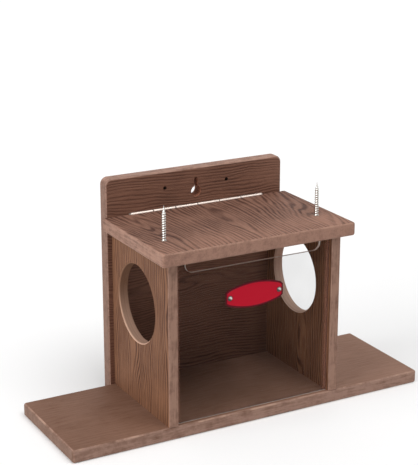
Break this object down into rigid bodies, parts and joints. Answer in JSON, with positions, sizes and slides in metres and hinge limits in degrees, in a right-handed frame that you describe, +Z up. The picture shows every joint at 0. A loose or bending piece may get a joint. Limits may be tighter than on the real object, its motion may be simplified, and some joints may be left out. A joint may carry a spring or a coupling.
{
  "type": "squirrel feeder",
  "caption": "Wall-hung feeder box of grained plastic planks, with perch ends on a long base, round side holes, a clear front sheet and a hinged roof lid that carries upright feeding spikes.",
  "frame": {"origin": "on the ground, under the centre of the box round the whole object at rest", "axes": "+X along the base board towards its right end as seen from the front, +Y from the front towards the wall, +Z up"},
  "size_m": [0.4366, 0.1628, 0.2565],
  "materials": {
    "plank": "matte, embossed with wood grain",
    "clear_sheet": "clear, polished",
    "badge": "glossy red",
    "steel": "bright zinc plated"
  },
  "bodies": {
    "box": {"base_board": "plank", "left_side_panel": "plank", "right_side_panel": "plank", "back_board": "plank", "front_panel": "clear_sheet", "badge_plate": "badge", "badge_rivets": "steel", "back_hinge_leaf": "steel", "hinge_pin": "steel", "back_hinge_screws": "steel", "left_panel_base_screws": "steel", "right_panel_base_screws": "steel", "left_panel_back_screws": "steel", "right_panel_back_screws": "steel", "base_back_screws": "steel"},
    "lid": {"lid_board": "plank", "lid_hinge_leaf": "steel", "lid_hinge_screws": "steel", "left_feeding_spike": "steel", "right_feeding_spike": "steel"}
  },
  "joints": [
    {"name": "lid_hinge", "type": "hinge", "parent": "box", "child": "lid", "pos_m": [0, 0.06385, 0.2135], "axis": [-1, 0, 0], "range_deg": [0, 90]}
  ]
}
